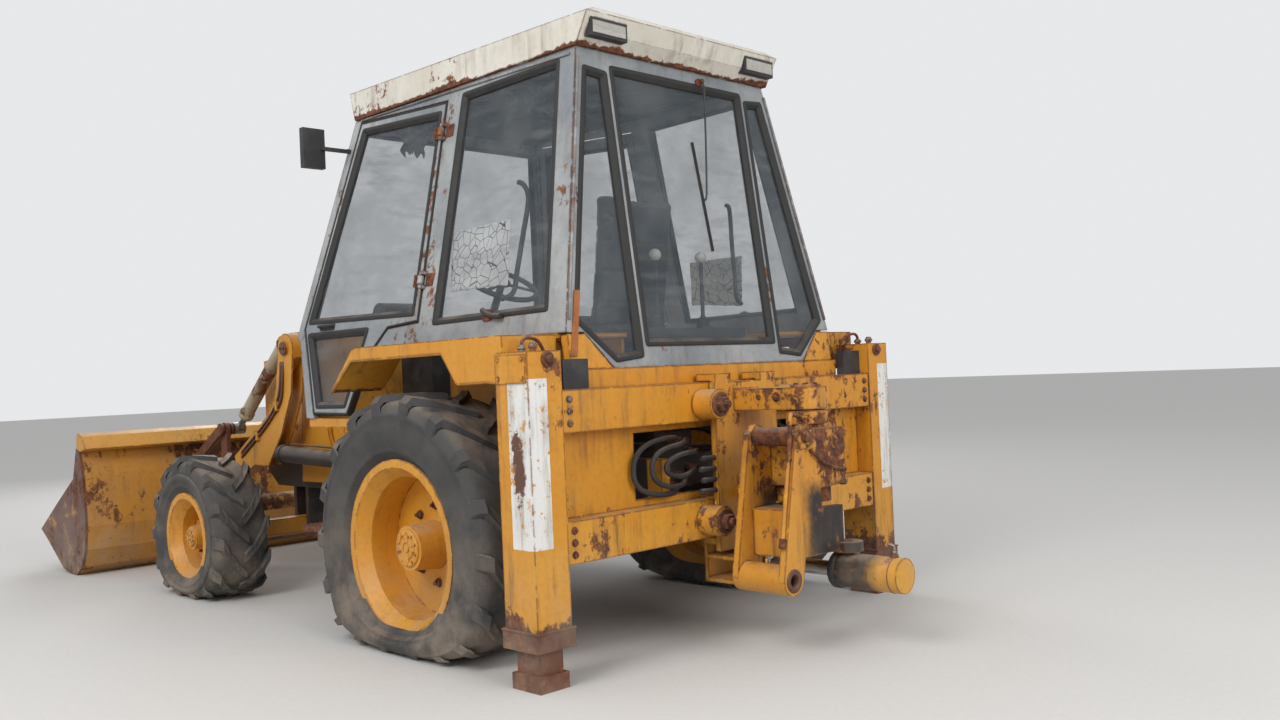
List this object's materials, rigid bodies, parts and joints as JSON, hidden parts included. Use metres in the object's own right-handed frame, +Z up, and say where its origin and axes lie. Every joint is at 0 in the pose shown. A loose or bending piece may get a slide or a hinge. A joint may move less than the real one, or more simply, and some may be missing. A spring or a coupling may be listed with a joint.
{
  "type": "backhoe loader with its boom taken off, for earth-moving",
  "caption": "Backhoe loader parked on flat tyres: glazed cab, front loader bucket, side-shift back frame with kingpost, boom and digging bucket taken off.",
  "frame": {"origin": "middle of the footprint on the ground", "axes": "+X forward towards the loader bucket, +Y left, +Z up"},
  "size_m": [5.955, 2.36, 2.67],
  "materials": {
    "body_paint": null,
    "frame_paint": null,
    "rim_paint": null,
    "roof_paint": null,
    "cab_metal": null,
    "rusty_steel": null,
    "ram_paint": null,
    "rod_chrome": null,
    "tyre_rubber": null,
    "rubber_black": null,
    "plastic_black": null,
    "seat_cover": null,
    "window_glass": null
  },
  "bodies": {
    "chassis": {"main_frame": "frame_paint", "rear_axle": "frame_paint", "front_axle": "body_paint", "engine": "rusty_steel", "bonnet": "body_paint", "grille": "frame_paint", "loader_towers": "body_paint", "back_frame": "body_paint", "fenders": "body_paint", "cab_base": "body_paint", "cab_frame": "cab_metal", "cab_glass": "window_glass", "roof": "roof_paint", "roof_lamps": "plastic_black", "seat": "seat_cover", "steering_wheel": "plastic_black", "console": "plastic_black", "tanks": "frame_paint", "steps": "rusty_steel", "air_cleaner": "plastic_black", "rear_lamps": "plastic_black", "side_mirror": "plastic_black", "seat_base": "plastic_black", "hose_1": "rubber_black", "hose_2": "rubber_black", "hose_3": "rubber_black"},
    "wheel_rear_left": {"rim_rear_left": "rim_paint", "tyre_rear_left": "tyre_rubber"},
    "wheel_rear_right": {"rim_rear_right": "rim_paint", "tyre_rear_right": "tyre_rubber"},
    "knuckle_left": {"knuckle_left": "body_paint"},
    "knuckle_right": {"knuckle_right": "body_paint"},
    "tie_rod": {"tie_rod": "rusty_steel"},
    "wheel_front_left": {"rim_front_left": "rim_paint", "tyre_front_left": "tyre_rubber"},
    "wheel_front_right": {"rim_front_right": "rim_paint", "tyre_front_right": "tyre_rubber"},
    "door_left": {"door_left": "cab_metal", "door_glass_left": "window_glass"},
    "door_right": {"door_right": "cab_metal", "door_glass_right": "window_glass"},
    "arms": {"loader_arms": "body_paint"},
    "bucket": {"bucket": "body_paint"},
    "levers": {"tilt_levers": "rusty_steel"},
    "links": {"tilt_links": "rusty_steel"},
    "lift_barrels": {"lift_barrels": "ram_paint"},
    "lift_rods": {"lift_rods": "rod_chrome"},
    "tilt_barrels": {"tilt_barrels": "ram_paint"},
    "tilt_rods": {"tilt_rods": "rod_chrome"},
    "carriage": {"carriage": "body_paint"},
    "kingpost": {"kingpost": "body_paint", "ram_pin": "rusty_steel"},
    "slew_barrel": {"slew_barrel": "body_paint"},
    "slew_rod": {"slew_rod": "rod_chrome"},
    "leg_left": {"stabiliser_left": "rusty_steel"},
    "leg_right": {"stabiliser_right": "rusty_steel"}
  },
  "joints": [
    {"name": "rear_left_wheel_spin", "type": "hinge", "parent": "chassis", "child": "wheel_rear_left", "pos_m": [-1.2825, 0.929, 0.441], "axis": [0, 1, 0], "continuous": true},
    {"name": "rear_right_wheel_spin", "type": "hinge", "parent": "chassis", "child": "wheel_rear_right", "pos_m": [-1.2825, -0.929, 0.441], "axis": [0, 1, 0], "continuous": true},
    {"name": "steer_left", "type": "hinge", "parent": "chassis", "child": "knuckle_left", "pos_m": [0.8875, 0.792, 0.328], "axis": [0, 0, 1], "range_deg": [-35, 35]},
    {"name": "steer_right", "type": "hinge", "parent": "chassis", "child": "knuckle_right", "pos_m": [0.8875, -0.792, 0.328], "axis": [0, 0, 1], "range_deg": [-35, 35]},
    {"name": "tie_rod_end", "type": "hinge", "parent": "knuckle_left", "child": "tie_rod", "pos_m": [0.7275, 0.792, 0.27], "axis": [0, 0, 1], "range_deg": [-35, 35]},
    {"name": "front_left_wheel_spin", "type": "hinge", "parent": "knuckle_left", "child": "wheel_front_left", "pos_m": [0.8875, 0.947, 0.328], "axis": [0, 1, 0], "continuous": true},
    {"name": "front_right_wheel_spin", "type": "hinge", "parent": "knuckle_right", "child": "wheel_front_right", "pos_m": [0.8875, -0.947, 0.328], "axis": [0, 1, 0], "continuous": true},
    {"name": "left_door_swing", "type": "hinge", "parent": "chassis", "child": "door_left", "pos_m": [-1.0825, 0.7486, 1.9], "axis": [0, -0.2069, 0.9784], "range_deg": [0, 85]},
    {"name": "right_door_swing", "type": "hinge", "parent": "chassis", "child": "door_right", "pos_m": [-1.0825, -0.7486, 1.9], "axis": [0, -0.2069, -0.9784], "range_deg": [0, 85]},
    {"name": "arms_lift", "type": "hinge", "parent": "chassis", "child": "arms", "pos_m": [0.5975, 0, 1.365], "axis": [0, -1, 0], "range_deg": [0, 85]},
    {"name": "bucket_tilt", "type": "hinge", "parent": "arms", "child": "bucket", "pos_m": [2.0895, 0, 0.205], "axis": [0, 1, 0], "range_deg": [-14, 88]},
    {"name": "lever_turn", "type": "hinge", "parent": "arms", "child": "levers", "pos_m": [1.4775, 0, 0.56], "axis": [0, 1, 0], "range_deg": [-16, 93]},
    {"name": "link_turn", "type": "hinge", "parent": "levers", "child": "links", "pos_m": [1.4685, 0, 0.9], "axis": [0, 1, 0], "range_deg": [-91, 16]},
    {"name": "lift_barrel_turn", "type": "hinge", "parent": "chassis", "child": "lift_barrels", "pos_m": [-0.0175, 0, 0.735], "axis": [0, -1, 0], "range_deg": [0, 37]},
    {"name": "lift_rod_slide", "type": "slide", "parent": "lift_barrels", "child": "lift_rods", "axis": [0.9995, 0, 0.0325], "range_m": [0, 0.6]},
    {"name": "tilt_barrel_turn", "type": "hinge", "parent": "chassis", "child": "tilt_barrels", "pos_m": [0.8335, 0, 1.406], "axis": [0, -1, 0], "range_deg": [0, 109]},
    {"name": "tilt_rod_slide", "type": "slide", "parent": "tilt_barrels", "child": "tilt_rods", "axis": [0.7821, 0, -0.6232], "range_m": [-0.08, 0.48]},
    {"name": "carriage_slide", "type": "slide", "parent": "chassis", "child": "carriage", "axis": [0, 1, 0], "range_m": [-0.56, 0.6]},
    {"name": "kingpost_slew", "type": "hinge", "parent": "carriage", "child": "kingpost", "pos_m": [-2.5825, -0.02, 0.8], "axis": [0, 0, 1], "range_deg": [0, 180]},
    {"name": "slew_barrel_turn", "type": "hinge", "parent": "kingpost", "child": "slew_barrel", "pos_m": [-2.7175, -0.08, 0.306], "axis": [0, 0, 1], "range_deg": [-181, 0]},
    {"name": "slew_rod_slide", "type": "slide", "parent": "slew_barrel", "child": "slew_rod", "axis": [1, 0, 0], "range_m": [-0.272, 0]},
    {"name": "left_leg_slide", "type": "slide", "parent": "chassis", "child": "leg_left", "axis": [0, 0, -1], "range_m": [-0.085, 0.4]},
    {"name": "right_leg_slide", "type": "slide", "parent": "chassis", "child": "leg_right", "axis": [0, 0, -1], "range_m": [-0.085, 0.4]}
  ],
  "couplings": [
    {"joint": "steer_right", "follows": "steer_left", "ratio": 1},
    {"joint": "tie_rod_end", "follows": "steer_left", "ratio": -1},
    {"joint": "lever_turn", "follows": "bucket_tilt", "ratio": 1.035},
    {"joint": "link_turn", "follows": "bucket_tilt", "ratio": -1.01},
    {"joint": "lift_barrel_turn", "follows": "arms_lift", "ratio": 0.415},
    {"joint": "lift_rod_slide", "follows": "arms_lift", "m_per_rad": 0.3896},
    {"joint": "tilt_barrel_turn", "follows": "arms_lift", "ratio": 1.264},
    {"joint": "tilt_rod_slide", "follows": "bucket_tilt", "m_per_rad": 0.307},
    {"joint": "slew_barrel_turn", "follows": "kingpost_slew", "ratio": -1},
    {"joint": "slew_rod_slide", "follows": "kingpost_slew", "m_per_rad": -0.0859}
  ]
}
